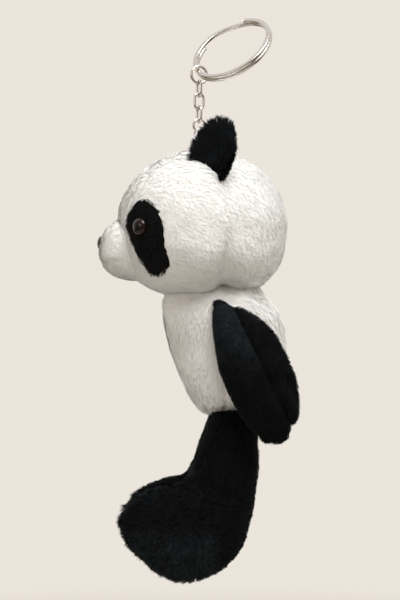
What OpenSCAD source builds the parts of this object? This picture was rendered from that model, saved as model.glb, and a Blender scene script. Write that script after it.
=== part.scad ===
// Plush panda on a key ring: a split ring, a short chain, a ribbon loop and a stuffed toy sewn
// from separate panels. The toy faces -Y and its left side is +X. The origin is the middle of the
// key ring's wire where the chain hangs from it.

/* [Key ring] */
// Outer diameter of the split ring
key_ring_d = 30; // [26:1:34]
// Radial width of its flat wire
key_wire_w = 1.6; // [1.2:0.1:1.8]
// Thickness of each of its two coils
key_wire_t = 1.2; // [0.9:0.1:1.3]
// Slope of the ring's long axis above the horizontal
key_ring_slope = 35; // [25:1:45]
// Lean of the ring about that axis
key_ring_lean = 52; // [40:1:60]
// Place round the ring, from its far end, where the wire steps from one coil to the other
key_step_at = 82; // [60:1:100]

/* [Chain] */
// Wire diameter of the connector ring and the links
chain_wire = 0.9; // [0.8:0.05:1]
// Outer diameter of the connector ring
connector_d = 6.9; // [6.8:0.1:7.6]
// Number of links between the connector ring and the end ring, which is odd
link_count = 3; // [3]
// Outer length of a link
link_l = 6.4; // [5.8:0.1:7]
// Outer width of a link
link_w = 4.2; // [3.8:0.1:4.6]
// Outer diameter of the end ring
end_ring_d = 5.1; // [4.8:0.1:5.6]
// Wire diameter of the end ring
end_wire = 0.8; // [0.7:0.05:0.9]
// Play between a wire and the wire that it hangs on
play = 0.1; // [0.08:0.01:0.15]

/* [Ribbon] */
// Width of the ribbon where it is sewn to the head
ribbon_w = 6; // [5:0.5:7]
// Width that it is gathered to inside the end ring
ribbon_gathered_w = 1.8; // [1.6:0.1:2.2]
// Thickness of the ribbon
ribbon_t = 0.5; // [0.3:0.1:0.6]
// Play between the ribbon's fold and the end ring's wire
ribbon_play = 0.45; // [0.35:0.05:0.5]

/* [Fabric] */
// Thickness of the plush fabric, with its flattened pile
skin = 1; // [0.8:0.1:1.2]

/* [Head] */
// Width of the head across its cheeks, and its depth without the muzzle
head_d = 59.5; // [57:0.5:62]
// Height of the head
head_h = 51.5; // [49:0.5:54]
// Distance from the side seam to the middle of the head
side_seam_back = 8.5; // [6:0.5:11]

/* [Face] */
// Width of the muzzle
muzzle_w = 29; // [26:1:32]
// Depth of the muzzle's oval
muzzle_depth = 25; // [22:1:28]
// Height of the muzzle
muzzle_h = 23; // [21:1:25]
// Length of an eye patch
patch_l = 27.5; // [24:0.5:30]
// Width of an eye patch
patch_w = 13; // [11:0.5:15]
// Lean of an eye patch from the vertical
patch_lean = 15; // [8:1:22]
// Diameter of a safety eye
eye_d = 6; // [5.6:0.2:7]
// Width of the safety nose
nose_w = 8; // [7:0.5:9]
// Height of the safety nose
nose_h = 5.4; // [5:0.2:6.4]
// Diameter of the moulded stems
stem_d = 2.4; // [2:0.1:3]
// Diameter of the washers behind the eyes and the nose
washer_d = 8; // [7:0.5:9]

/* [Ears] */
// Width of an ear
ear_w = 20; // [17:1:24]
// Height of an ear
ear_h = 23; // [20:1:26]
// Thickness of an ear, both panels together
ear_t = 5; // [4:0.5:6]
// Turn of an ear towards the side
ear_turn = 45; // [35:1:55]

/* [Hidden] */
$fn = 72;

big = 200;

// Key ring: its wire's middle radius and how far each coil lies from the ring's middle plane
key_r = (key_ring_d - key_wire_w) / 2;
coil_gap = 0.1;
coil_offset = (key_wire_t + coil_gap) / 2;
step_half_angle = 30;
wire_end_gap = 6;
ring_steps = 66;

// Chain: the yaw that sets the connector ring square to the key ring's wire, and the heights of
// the wires that the pieces hang on
chain_yaw = atan2(sin(key_ring_slope) * cos(key_ring_lean), sin(key_ring_lean));
connector_r = (connector_d - chain_wire) / 2;
connector_z = -0.72;
connector_bottom = connector_z - connector_r;
link_span = link_l - chain_wire;
link_pitch = link_span - chain_wire - play;
end_ring_r = (end_ring_d - end_wire) / 2;
end_ring_top = connector_bottom - link_count * link_pitch + (chain_wire + end_wire) / 2 + play;
end_ring_bottom = end_ring_top - 2 * end_ring_r;
ring_cut = 8;

// Head: its middle, and the inside of its skin
head_top = -27;
head_at = [0, 1, head_top - head_h / 2];
muzzle_at = [0, -21.2, -61.5];
muzzle_radii = [muzzle_w, muzzle_depth, muzzle_h] / 2;
muzzle_stuffing_radii = muzzle_radii - [skin, skin, skin];
chin_seam_z = -66;
patch_at = [0, -18.8, -57];
eye_at = [20, -20.8, -53.8];
eye_yaw = 47;
eye_rise = 2.2;
nose_at = [0, -33.3, -59.6];
nose_depth = 3.8;
stem_l = 6;
washer_t = 1;
washer_play = 0.1;
ear_at = [20.5, 5.2, -29.2];

// Soft lofts: each section is a flat oval, given by its front point and back point as [y, z, y, z],
// then the x of its middle and its half width
loft_sides = 24;
torso_sections = [
    [-11, -79.3, 21.5, -79.3, 0, 14.5],
    [-12, -81, 24, -80.5, 0, 16.5],
    [-11, -90, 29.5, -90, 0, 18.5],
    [-8.8, -98.5, 30.5, -98.5, 0, 19],
    [-6.4, -106, 29, -106, 0, 18.5],
    [-3.6, -113, 25.5, -113, 0, 16.5],
    [0.5, -118, 21, -118, 0, 13],
    [6, -120.5, 16.5, -120.5, 0, 9]
];
arm_sections = [
    [4.6, -81.4, 9.1, -80.5, 20, 2],
    [4, -85.5, 17.1, -83.6, 23, 4],
    [4.3, -91.2, 24.4, -89.5, 25.2, 5.8],
    [5.4, -97.8, 28.7, -96.8, 26, 6.4],
    [7.1, -105.5, 32.1, -104.5, 26.3, 6.6],
    [10.4, -113.4, 33.8, -112.9, 26.3, 6.4],
    [14.7, -120.9, 33.4, -118.9, 26, 5],
    [19.6, -125.6, 30.1, -124.9, 25.5, 2.5]
];
arm_seam_at = [11.5, -82.3];
arm_seam_slope = 63.5;
leg_x = 11;
leg_sections = [
    [7, -121.9, 16.2, -121.7, leg_x, 5.2],
    [2.4, -123.9, 20, -123.7, leg_x, 9],
    [0, -129.6, 20.6, -131.3, leg_x, 9.8],
    [-2.9, -136.8, 20.1, -142.7, leg_x, 10.2],
    [-6.4, -141.2, 17.6, -155, leg_x, 10.4],
    [-11.8, -142.7, 14.2, -165.2, leg_x, 10.5],
    [-16.7, -144.2, 7.4, -172.6, leg_x, 10.5],
    [-21.1, -146.1, -2.9, -176, leg_x, 10.2],
    [-24.5, -149.1, -13.2, -173.6, leg_x, 9],
    [-26.5, -152.5, -21.6, -166.7, leg_x, 6.5],
    [-27.1, -156.4, -25.8, -161.3, leg_x, 2.5]
];
torso_seam_y = 9;

// Shared shapes

// An ellipsoid
module oval_ball(at, radii) {
    translate(at) scale(radii) sphere(r = 1);
}

// The head without its muzzle: a round solid that is a little flatter than a ball
module head_ball(inset) {
    translate(head_at) rotate_extrude() intersection() {
        scale([head_d / 2 - inset, head_h / 2 - inset]) circle(r = 1);
        translate([0, -big / 2]) square([big / 2, big]);
    }
}

// Everything on the +Y side of a place, or on the other side
module half_space(y, side) {
    translate([-big / 2, side > 0 ? y : y - big, -big]) cube([big, big, 2 * big]);
}

// A piece for the toy's left side, or its mirror image for the right side
module on_side(side) {
    if (side > 0) children();
    else mirror([1, 0, 0]) children();
}

function section_point(s, a) = [
    s[4] + s[5] * cos(a),
    (s[0] + s[2]) / 2 + (s[2] - s[0]) / 2 * sin(a),
    (s[1] + s[3]) / 2 + (s[3] - s[1]) / 2 * sin(a)
];

// A closed solid through flat oval sections, each joined to the next
module loft(sections) {
    n = loft_sides;
    last = len(sections) - 1;
    points = [for (s = sections) for (i = [0:n - 1]) section_point(s, 360 * i / n)];
    bands = [for (k = [0:last - 1]) for (i = [0:n - 1]) let (j = (i + 1) % n)
        for (f = [[k * n + i, k * n + j, (k + 1) * n + i],
            [k * n + j, (k + 1) * n + j, (k + 1) * n + i]]) f];
    start = [for (i = [n - 1:-1:0]) i];
    finish = [for (i = [0:n - 1]) last * n + i];
    polyhedron(points, concat([start], bands, [finish]), convexity = 4);
}

function section_middle(s) = [s[0] + s[2], s[1] + s[3]] / 2;
function unit(v) = v / norm(v);
function section_shift(ss, i) =
    i == 0 ? unit(section_middle(ss[1]) - section_middle(ss[0]))
    : i == len(ss) - 1 ? unit(section_middle(ss[i - 1]) - section_middle(ss[i]))
    : [0, 0];

// The same sections, moved in by the thickness of the fabric
function inset(ss) = [for (i = [0:len(ss) - 1])
    let (s = ss[i], u = unit([s[2] - s[0], s[3] - s[1]]) * skin, e = section_shift(ss, i) * skin)
    [s[0] + u[0] + e[0], s[1] + u[1] + e[1], s[2] - u[0] + e[0], s[3] - u[1] + e[1],
        s[4], s[5] - skin]];

module loft_skin(sections) {
    difference() {
        loft(sections);
        loft(inset(sections));
    }
}

// Key ring and chain

function coil_angle(k) = key_step_at + step_half_angle + wire_end_gap
    + k * (720 - 2 * (step_half_angle + wire_end_gap)) / ring_steps;

// Height of the wire in the ring: one coil, a step over one short stretch, then the other coil
function coil_height(a) = let (u = (a - key_step_at - 360) / step_half_angle)
    u < -1 ? -coil_offset : u > 1 ? coil_offset : coil_offset * sin(90 * u);

key_bevel = 0.3;
key_profile = let (w = key_wire_w / 2, t = key_wire_t / 2, b = key_bevel)
    [[w, b - t], [w, t - b], [w - b, t], [b - w, t], [-w, t - b], [-w, b - t], [b - w, -t],
        [w - b, -t]];

module key_ring() {
    n = len(key_profile);
    points = [for (k = [0:ring_steps]) let (a = coil_angle(k), z = coil_height(a))
        for (p = key_profile) [(key_r + p[0]) * cos(a), (key_r + p[0]) * sin(a), z + p[1]]];
    bands = [for (k = [0:ring_steps - 1]) for (i = [0:n - 1]) let (j = (i + 1) % n)
        for (f = [[k * n + i, (k + 1) * n + i, k * n + j],
            [k * n + j, (k + 1) * n + i, (k + 1) * n + j]]) f];
    start = [for (i = [0:n - 1]) i];
    finish = [for (i = [n - 1:-1:0]) ring_steps * n + i];
    color("silver")
        rotate([key_ring_slope, 0, 0]) rotate([0, -key_ring_lean, 0]) rotate([90, 0, 90])
            translate([key_r, 0, 0]) polyhedron(points, concat([start], bands, [finish]), convexity = 6);
}

// A round wire ring that stands on edge, its hole along X, with a closed cut at one side
module wire_ring(middle_r, wire) {
    rotate([90, 0, 90]) rotate([0, 0, ring_cut / 2])
        rotate_extrude(angle = 360 - ring_cut) translate([middle_r, 0]) circle(d = wire);
}

module connector_ring() {
    color("silver") rotate([0, 0, chain_yaw]) translate([0, 0, connector_z])
        wire_ring(connector_r, chain_wire);
}

module end_ring() {
    color("silver") rotate([0, 0, chain_yaw]) translate([0, 0, end_ring_top - end_ring_r])
        wire_ring(end_ring_r, end_wire);
}

// One oval link, with two round ends and two straight sides
module oval_link() {
    end_r = (link_w - chain_wire) / 2;
    straight = link_span - 2 * end_r;
    for (up = [1, -1]) {
        translate([0, 0, up * straight / 2]) rotate([90, 0, 90]) rotate([0, 0, up > 0 ? 0 : 180])
            rotate_extrude(angle = 180) translate([end_r, 0]) circle(d = chain_wire);
        translate([0, up * end_r, -straight / 2]) cylinder(d = chain_wire, h = straight);
    }
}

// Link number i below the connector ring, each a quarter turn from the one above
module chain_link(i) {
    top = connector_bottom + chain_wire + play - (i - 1) * link_pitch;
    color("silver") rotate([0, 0, chain_yaw + 90 * (i % 2)]) translate([0, 0, top - link_span / 2])
        oval_link();
}

// Ribbon: a narrow fold over the end ring's wire, then both legs side by side down to the head
module ribbon_loop() {
    inner = end_wire / 2 + ribbon_play;
    outer = inner + ribbon_t;
    leg_top = end_ring_bottom - inner;
    color("white") difference() {
        rotate([0, 0, chain_yaw]) union() {
            translate([0, 0, end_ring_bottom]) rotate([90, 0, 0]) difference() {
                union() {
                    cylinder(r = outer, h = ribbon_gathered_w, center = true);
                    translate([-outer, -1, -ribbon_gathered_w / 2])
                        cube([2 * outer, 1, ribbon_gathered_w]);
                }
                cylinder(r = inner, h = big, center = true);
                translate([-inner, -2, -big / 2]) cube([2 * inner, 2, big]);
            }
            for (side = [-1, 1])
                translate([side > 0 ? inner : -outer, -ribbon_w / 2, head_top - 2])
                    cube([ribbon_t, ribbon_w, leg_top - head_top + 2]);
        }
        head_ball(0);
    }
}

// Head

module head_skin() {
    difference() {
        head_ball(0);
        head_ball(skin);
        oval_ball(muzzle_at, muzzle_stuffing_radii);
    }
}

// A straight oval cut along +X, as wide as an eye patch
module patch_cutter() {
    translate([8, patch_at[1], patch_at[2]]) rotate([90, 0, 90]) rotate(patch_lean)
        linear_extrude(big / 2) scale([patch_w / 2, patch_l / 2]) circle(r = 1);
}

// Turns +Z to point straight out of an eye's seat
module at_eye() {
    translate(eye_at) rotate([0, 90, -eye_yaw]) children();
}

module eye_solid() {
    at_eye() {
        intersection() {
            translate([0, 0, eye_rise - eye_d / 2 - 0.4]) sphere(d = eye_d * 1.12);
            translate([0, 0, -1]) cylinder(d = eye_d, h = 5);
        }
        translate([0, 0, -stem_l]) cylinder(d = stem_d, h = stem_l);
    }
}

module eye_washer_solid(bore) {
    at_eye() translate([0, 0, -stem_l + 1.6]) difference() {
        cylinder(d = washer_d, h = washer_t);
        translate([0, 0, -1]) cylinder(d = bore, h = washer_t + 2);
    }
}

module nose_solid() {
    oval_ball(nose_at, [nose_w, nose_depth, nose_h] / 2);
    translate(nose_at) rotate([-90, 0, 0]) cylinder(d = stem_d, h = stem_l);
}

module nose_washer_solid(bore) {
    translate(nose_at + [0, stem_l - 2.6, 0]) rotate([-90, 0, 0]) difference() {
        cylinder(d = washer_d, h = washer_t);
        translate([0, 0, -1]) cylinder(d = bore, h = washer_t + 2);
    }
}

module face_panel(side) {
    color("whitesmoke") on_side(side) difference() {
        head_skin();
        half_space(head_at[1] + side_seam_back, 1);
        translate([-big, -big / 2, -big]) cube([big, big, 2 * big]);
        patch_cutter();
    }
}

module back_head_panel(side) {
    color("whitesmoke") on_side(side) difference() {
        head_skin();
        half_space(head_at[1] + side_seam_back, -1);
        translate([-big, -big / 2, -big]) cube([big, big, 2 * big]);
    }
}

module eye_patch(side) {
    color("black") on_side(side) difference() {
        intersection() {
            head_skin();
            patch_cutter();
        }
        eye_solid();
    }
}

module muzzle_panel(top) {
    color("white") difference() {
        oval_ball(muzzle_at, muzzle_radii);
        oval_ball(muzzle_at, muzzle_stuffing_radii);
        head_ball(0);
        nose_solid();
        translate([-big / 2, -big / 2, top ? chin_seam_z - big : chin_seam_z]) cube(big);
    }
}

module eye(side) {
    color([0.09, 0.05, 0.04]) on_side(side) eye_solid();
}

module eye_washer(side) {
    color("ivory") on_side(side) eye_washer_solid(stem_d + washer_play);
}

module nose() {
    color([0.06, 0.04, 0.04]) nose_solid();
}

module nose_washer() {
    color("ivory") nose_washer_solid(stem_d + washer_play);
}

// An ear stands on the head's upper side and is sewn from a front and a back panel
module ear_panel(side, front) {
    color("black") on_side(side) difference() {
        translate(ear_at) rotate([0, 0, ear_turn]) intersection() {
            scale([ear_w, ear_t, ear_h] / 2) sphere(r = 1);
            half_space(0, front ? -1 : 1);
        }
        head_ball(0);
    }
}

module head_stuffing() {
    color("gainsboro") difference() {
        union() {
            head_ball(skin);
            oval_ball(muzzle_at, muzzle_stuffing_radii);
        }
        for (side = [1, -1]) on_side(side) {
            eye_solid();
            eye_washer_solid(stem_d);
        }
        nose_solid();
        nose_washer_solid(stem_d);
    }
}

// Torso

module torso_panel(front) {
    color("whitesmoke") intersection() {
        loft_skin(torso_sections);
        half_space(torso_seam_y, front ? -1 : 1);
    }
}

module torso_stuffing() {
    color("gainsboro") loft(inset(torso_sections));
}

// Arms and legs

module arm_panel(side, front) {
    color(front ? "dimgray" : "black") on_side(side) intersection() {
        loft_skin(arm_sections);
        translate([0, arm_seam_at[0], arm_seam_at[1]]) rotate([90 - arm_seam_slope, 0, 0])
            half_space(0, front ? -1 : 1);
    }
}

module arm_stuffing(side) {
    color("gainsboro") on_side(side) loft(inset(arm_sections));
}

module leg_panel(side, outer) {
    color("black") on_side(side) intersection() {
        loft_skin(leg_sections);
        translate([outer ? leg_x : leg_x - big, -big / 2, -big]) cube(big);
    }
}

module leg_stuffing(side) {
    color("gainsboro") on_side(side) loft(inset(leg_sections));
}

key_ring();
connector_ring();
chain_link(1);  // chain_link_1
chain_link(2);  // chain_link_2
chain_link(3);  // chain_link_3
end_ring();
ribbon_loop();
face_panel(1);  // face_panel_left
face_panel(-1);  // face_panel_right
back_head_panel(1);  // back_head_panel_left
back_head_panel(-1);  // back_head_panel_right
muzzle_panel(true);  // muzzle_top_panel
muzzle_panel(false);  // muzzle_chin_panel
eye_patch(1);  // eye_patch_left
eye_patch(-1);  // eye_patch_right
eye(1);  // eye_left
eye(-1);  // eye_right
eye_washer(1);  // eye_washer_left
eye_washer(-1);  // eye_washer_right
nose();
nose_washer();
ear_panel(1, true);  // ear_left_front_panel
ear_panel(1, false);  // ear_left_back_panel
ear_panel(-1, true);  // ear_right_front_panel
ear_panel(-1, false);  // ear_right_back_panel
head_stuffing();
torso_panel(true);  // torso_front_panel
torso_panel(false);  // torso_back_panel
torso_stuffing();
arm_panel(1, true);  // arm_left_front_panel
arm_panel(1, false);  // arm_left_rear_panel
arm_stuffing(1);  // arm_left_stuffing
arm_panel(-1, true);  // arm_right_front_panel
arm_panel(-1, false);  // arm_right_rear_panel
arm_stuffing(-1);  // arm_right_stuffing
leg_panel(1, true);  // leg_left_outer_panel
leg_panel(1, false);  // leg_left_inner_panel
leg_stuffing(1);  // leg_left_stuffing
leg_panel(-1, true);  // leg_right_outer_panel
leg_panel(-1, false);  // leg_right_inner_panel
leg_stuffing(-1);  // leg_right_stuffing
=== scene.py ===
"""A plush panda on a key ring, hung by a short chain: the looks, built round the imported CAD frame.
Shapes are worked out in millimetres in the frame's axes and written to meshes in metres."""

import math

import bpy
import numpy as np
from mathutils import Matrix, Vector


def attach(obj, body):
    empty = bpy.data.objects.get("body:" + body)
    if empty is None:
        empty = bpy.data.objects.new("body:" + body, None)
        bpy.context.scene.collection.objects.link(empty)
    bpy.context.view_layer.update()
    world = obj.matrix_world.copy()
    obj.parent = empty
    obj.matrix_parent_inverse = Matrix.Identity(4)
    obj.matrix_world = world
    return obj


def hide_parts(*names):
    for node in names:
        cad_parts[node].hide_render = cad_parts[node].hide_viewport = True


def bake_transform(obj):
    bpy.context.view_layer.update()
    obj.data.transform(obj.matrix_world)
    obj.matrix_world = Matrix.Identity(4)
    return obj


MM = 0.001
UP = np.array([0, 0, 1.0])
SIDES = (("left", 1), ("right", -1))
FUR_SHARE = 1.0


# ---------------------------------------------------------------- camera and frame

def make_camera():
    """The photograph's view: the toy's left side, from 0.55 m, level with its middle."""
    camera = bpy.data.objects.new("camera", bpy.data.cameras.new("camera"))
    bpy.context.scene.collection.objects.link(camera)
    distance, half_view = 0.55, 0.105
    camera.location = (distance, 0.0003, -0.0795)
    camera.rotation_euler = (math.radians(90), 0, math.radians(90))
    camera.data.sensor_width = 36
    camera.data.lens = 18 * distance / half_view
    camera.data.clip_start, camera.data.clip_end = 0.01, 20
    bpy.context.scene.camera = camera


make_camera()
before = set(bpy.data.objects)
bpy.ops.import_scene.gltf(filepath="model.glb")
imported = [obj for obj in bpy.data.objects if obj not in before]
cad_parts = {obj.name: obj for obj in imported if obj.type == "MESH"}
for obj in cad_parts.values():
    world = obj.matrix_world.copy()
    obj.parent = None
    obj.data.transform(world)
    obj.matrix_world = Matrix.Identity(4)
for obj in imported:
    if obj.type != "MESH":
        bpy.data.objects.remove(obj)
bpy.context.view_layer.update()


# ---------------------------------------------------------------- noise and vector helpers

def unit(v):
    return v / np.maximum(np.linalg.norm(v, axis=-1, keepdims=True), 1e-12)


def smooth(x, low, high):
    t = np.clip((x - low) / (high - low), 0, 1)
    return t * t * (3 - 2 * t)


def value_noise(points, size, seed):
    """Smooth noise from -1 to 1, whose features are about `size` mm across."""
    n = 32
    lattice = np.random.default_rng(seed).random((n, n, n)) * 2 - 1
    q = points / size + 100.0
    base = np.floor(q).astype(int)
    f = q - base
    f = f * f * (3 - 2 * f)
    total = 0
    for corner in range(8):
        o = np.array([corner & 1, corner >> 1 & 1, corner >> 2 & 1])
        at = (base + o) % n
        weight = np.prod(np.where(o, f, 1 - f), axis=1)
        total = total + weight * lattice[at[:, 0], at[:, 1], at[:, 2]]
    return total


def vector_noise(points, size, seed):
    return np.stack([value_noise(points, size, seed + k) for k in range(3)], axis=1)


# ---------------------------------------------------------------- materials

def new_material(name, roughness, sheen=0.0, sheen_tint=(1, 1, 1), specular=0.5):
    """A material with its node tree and its shader."""
    material = bpy.data.materials.new(name)
    material.use_nodes = True
    shader = material.node_tree.nodes["Principled BSDF"]
    settings = {"Roughness": roughness, "Sheen Weight": sheen, "Sheen Roughness": 0.45,
                "Sheen Tint": (*sheen_tint, 1), "Specular IOR Level": specular}
    for key, value in settings.items():
        shader.inputs[key].default_value = value
    return material, material.node_tree, shader


def node(tree, kind, **settings):
    """A new node; each setting is an input's constant or the node's own property."""
    made = tree.nodes.new(kind)
    for key, value in settings.items():
        if key in made.inputs:
            made.inputs[key].default_value = value
        else:
            setattr(made, key, value)
    return made


def texture(tree, kind, **settings):
    """The value of a texture laid on the piece's own coordinates."""
    coordinates = tree.nodes.new("ShaderNodeTexCoord")
    made = node(tree, kind, **settings)
    tree.links.new(coordinates.outputs["Object"], made.inputs["Vector"])
    return made.outputs["Fac"]


def ramp(tree, factor, stops):
    """The colour that `factor` picks between stops, each (position, colour)."""
    made = tree.nodes.new("ShaderNodeValToRGB")
    elements = made.color_ramp.elements
    while len(elements) < len(stops):
        elements.new(0.5)
    for element, (at, colour) in zip(elements, stops):
        element.position = at
        element.color = (*colour, 1)
    tree.links.new(factor, made.inputs["Fac"])
    return made.outputs["Color"]


def multiplied(tree, first, second):
    mix = node(tree, "ShaderNodeMix", data_type="RGBA", blend_type="MULTIPLY")
    mix.inputs["Factor"].default_value = 1.0
    tree.links.new(first, mix.inputs["A"])
    tree.links.new(second, mix.inputs["B"])
    return mix.outputs["Result"]


def darker(colour, share):
    return tuple(c * share for c in colour)


def fur_material(name, root, tip, patchy, specular, sheen, sheen_tint=(1, 1, 1)):
    """Plush: darker at the roots than at the tips, in soft patches a few millimetres across."""
    material, tree, shader = new_material(name, 0.85, sheen, sheen_tint, specular)
    along = node(tree, "ShaderNodeAttribute", attribute_name="along")
    shade = ramp(tree, along.outputs["Fac"], [(0.0, root), (1.0, tip)])
    patches = texture(tree, "ShaderNodeTexNoise", Scale=260.0, Detail=4.0, Roughness=0.65)
    tone = ramp(tree, patches, [(0.3, (patchy,) * 3), (0.65, (1, 1, 1))])
    tree.links.new(multiplied(tree, shade, tone), shader.inputs["Base Color"])
    return material


def metal_material(name, colour, roughness):
    """Plated steel with fine drawing marks and faint wear."""
    material, tree, shader = new_material(name, roughness)
    shader.inputs["Metallic"].default_value = 1.0
    wear = texture(tree, "ShaderNodeTexNoise", Scale=900.0, Detail=5.0, Roughness=0.7)
    tone = ramp(tree, wear, [(0.35, darker(colour, 0.8)), (0.6, colour)])
    tree.links.new(tone, shader.inputs["Base Color"])
    gloss = node(tree, "ShaderNodeMapRange", **{"To Min": roughness * 0.7, "To Max": roughness * 1.7})
    tree.links.new(wear, gloss.inputs["Value"])
    tree.links.new(gloss.outputs["Result"], shader.inputs["Roughness"])
    return material


def ribbon_material():
    """White satin ribbon: a fine plain weave with shaded ribs."""
    material, tree, shader = new_material("ribbon_satin", 0.55, 0.3)
    ribs = texture(tree, "ShaderNodeTexWave", Scale=900.0, Distortion=0.6, bands_direction="Z")
    tone = ramp(tree, ribs, [(0.1, (0.58, 0.54, 0.53)), (0.9, (0.80, 0.76, 0.75))])
    tree.links.new(tone, shader.inputs["Base Color"])
    bump = node(tree, "ShaderNodeBump", Strength=0.35, Distance=0.0002)
    tree.links.new(ribs, bump.inputs["Height"])
    tree.links.new(bump.outputs["Normal"], shader.inputs["Normal"])
    return material


def eye_material(name, rim):
    """Moulded plastic, black in the middle and a deep brown towards its rim, under a clear gloss."""
    material, tree, shader = new_material(name, 0.12, specular=0.15)
    shader.inputs["Coat Weight"].default_value = 0.2
    shader.inputs["Coat Roughness"].default_value = 0.03
    along = node(tree, "ShaderNodeAttribute", attribute_name="along")
    tone = ramp(tree, along.outputs["Fac"],
                [(0.45, (0.002, 0.002, 0.002)), (0.62, rim), (1.0, darker(rim, 0.5))])
    tree.links.new(tone, shader.inputs["Base Color"])
    return material


def plain_material(name, colour, roughness, scale):
    """One colour with faint mottling."""
    material, tree, shader = new_material(name, roughness)
    mottle = texture(tree, "ShaderNodeTexNoise", Scale=scale, Detail=6.0)
    tone = ramp(tree, mottle, [(0.3, darker(colour, 0.85)), (0.7, colour)])
    tree.links.new(tone, shader.inputs["Base Color"])
    return material


WHITE_FUR = fur_material("white_plush", (0.84, 0.80, 0.75), (0.93, 0.93, 0.92), 0.95, 0.15, 0.1)
BLACK_FUR = fur_material("black_plush", (0.0010, 0.0010, 0.0014), (0.022, 0.027, 0.032),
                         0.45, 0.08, 0.03, (0.5, 0.62, 0.72))
BLACK_NAP = fur_material("black_felted_plush", (0.0012, 0.0012, 0.0012), (0.012, 0.012, 0.013),
                         0.5, 0.08, 0.02, (0.5, 0.55, 0.6))
STEEL = metal_material("plated_steel", (0.64, 0.60, 0.55), 0.2)
RIBBON = ribbon_material()
EYE = eye_material("eye_plastic", (0.014, 0.005, 0.003))
NOSE = eye_material("nose_plastic", (0.006, 0.004, 0.003))
WASHER = plain_material("washer_plastic", (0.82, 0.81, 0.77), 0.5, 400.0)
WHITE_THREAD = plain_material("white_thread", (0.78, 0.76, 0.73), 0.6, 2500.0)
FIBRE = plain_material("fibre", (0.9, 0.9, 0.89), 0.95, 700.0)


# ---------------------------------------------------------------- meshes

def link_mesh(name, points, triangles, material, along=None, normals=None):
    """A piece from points in millimetres. `along` is each point's place from root to tip."""
    mesh = bpy.data.meshes.new(name)
    mesh.vertices.add(len(points))
    mesh.vertices.foreach_set("co", (np.asarray(points) * MM).astype(np.float32).ravel())
    mesh.loops.add(triangles.size)
    mesh.loops.foreach_set("vertex_index", triangles.astype(np.int32).ravel())
    mesh.polygons.add(len(triangles))
    sides = triangles.shape[1]
    mesh.polygons.foreach_set("loop_start", np.arange(0, triangles.size, sides, dtype=np.int32))
    mesh.polygons.foreach_set("use_smooth", np.ones(len(triangles), bool))
    mesh.update(calc_edges=True)
    if along is not None:
        attribute = mesh.attributes.new("along", "FLOAT", "POINT")
        attribute.data.foreach_set("value", np.asarray(along, np.float32))
    if normals is not None:
        mesh.normals_split_custom_set_from_vertices(normals)
    mesh.materials.append(material)
    piece = bpy.data.objects.new(name, mesh)
    bpy.context.scene.collection.objects.link(piece)
    return piece


def point_normals(points, triangles):
    a, b, c = (points[triangles[:, k]] for k in range(3))
    face = np.cross(b - a, c - a)
    total = np.zeros_like(points)
    for k in range(3):
        np.add.at(total, triangles[:, k], face)
    return unit(total)


def grid_triangles(rows, columns, closed=True):
    """The triangles between neighbouring points of a grid, joined round each row if it is closed."""
    across = columns if closed else columns - 1
    i, j = np.meshgrid(np.arange(rows - 1), np.arange(across), indexing="ij")
    a, b = i * columns + j, i * columns + (j + 1) % columns
    c, d = a + columns, b + columns
    return np.concatenate([np.stack([a, b, c], -1).reshape(-1, 3), np.stack([b, d, c], -1).reshape(-1, 3)])


def oval_directions(rows, columns):
    """Unit vectors over a ball whose poles lie on the X axis, and the triangles that join them."""
    polar = np.linspace(0.012, math.pi - 0.012, rows)
    turn = np.linspace(0, 2 * math.pi, columns, endpoint=False)
    p, t = np.meshgrid(polar, turn, indexing="ij")
    directions = np.stack([np.cos(p), np.sin(p) * np.cos(t), np.sin(p) * np.sin(t)], -1).reshape(-1, 3)
    return directions, grid_triangles(rows, columns)


def outward(points, triangles):
    """The triangles, turned so that they face away from the middle."""
    a, b, c = (points[triangles[:, k]] for k in range(3))
    volume = np.einsum("ij,ij->i", a - points.mean(0), np.cross(b - a, c - a)).sum()
    return triangles if volume > 0 else triangles[:, ::-1]


def catmull(values, steps):
    """A smooth curve through the rows of `values`, with `steps` points between each pair."""
    v = np.concatenate([values[:1] * 2 - values[1:2], values, values[-1:] * 2 - values[-2:-1]])
    out = []
    for k in range(1, len(v) - 2):
        t = np.linspace(0, 1, steps, endpoint=False)[:, None]
        a, b, c, d = v[k - 1], v[k], v[k + 1], v[k + 2]
        out.append(0.5 * (2 * b + (c - a) * t + (2 * a - 5 * b + 4 * c - d) * t**2
                          + (3 * b - a - 3 * c + d) * t**3))
    return np.concatenate([*out, values[-1:]])


def loft(sections, columns=96, steps=7, squareness=2.3, caps=(0.5, 0.5)):
    """A closed soft form through oval sections, each [front y, front z, back y, back z, x, half x].
    Each end is closed by a rounded cap; `caps` gives its height as a share of the end's half depth."""
    rows = catmull(np.array(sections, float), steps)
    front, back = rows[:, 0:2], rows[:, 2:4]
    middle, half = (front + back) / 2, (back - front) / 2
    turn = np.linspace(0, 2 * math.pi, columns, endpoint=False)
    c, s = np.cos(turn), np.sin(turn)
    c, s = (np.sign(v) * np.abs(v) ** (2 / squareness) for v in (c, s))
    rings = []

    def ring(k, share, push):
        m = middle[k] + push
        rings.append(np.stack([rows[k, 4] + rows[k, 5] * share * c, m[0] + half[k, 0] * share * s,
                               m[1] + half[k, 1] * share * s], -1))

    def cap(k, other, height, order):
        out = middle[k] - middle[other]
        out = out / np.linalg.norm(out) * np.linalg.norm(half[k]) * height
        for a in order:
            ring(k, math.cos(a), out * math.sin(a))

    angles = np.radians([89, 75, 60, 45, 30, 15])
    cap(0, 1, caps[0], angles)
    for k in range(len(rows)):
        ring(k, 1.0, np.zeros(2))
    cap(len(rows) - 1, len(rows) - 2, caps[1], angles[::-1])
    points = np.concatenate(rings)
    triangles = grid_triangles(len(rings), columns)
    return points, outward(points, triangles)


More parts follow.
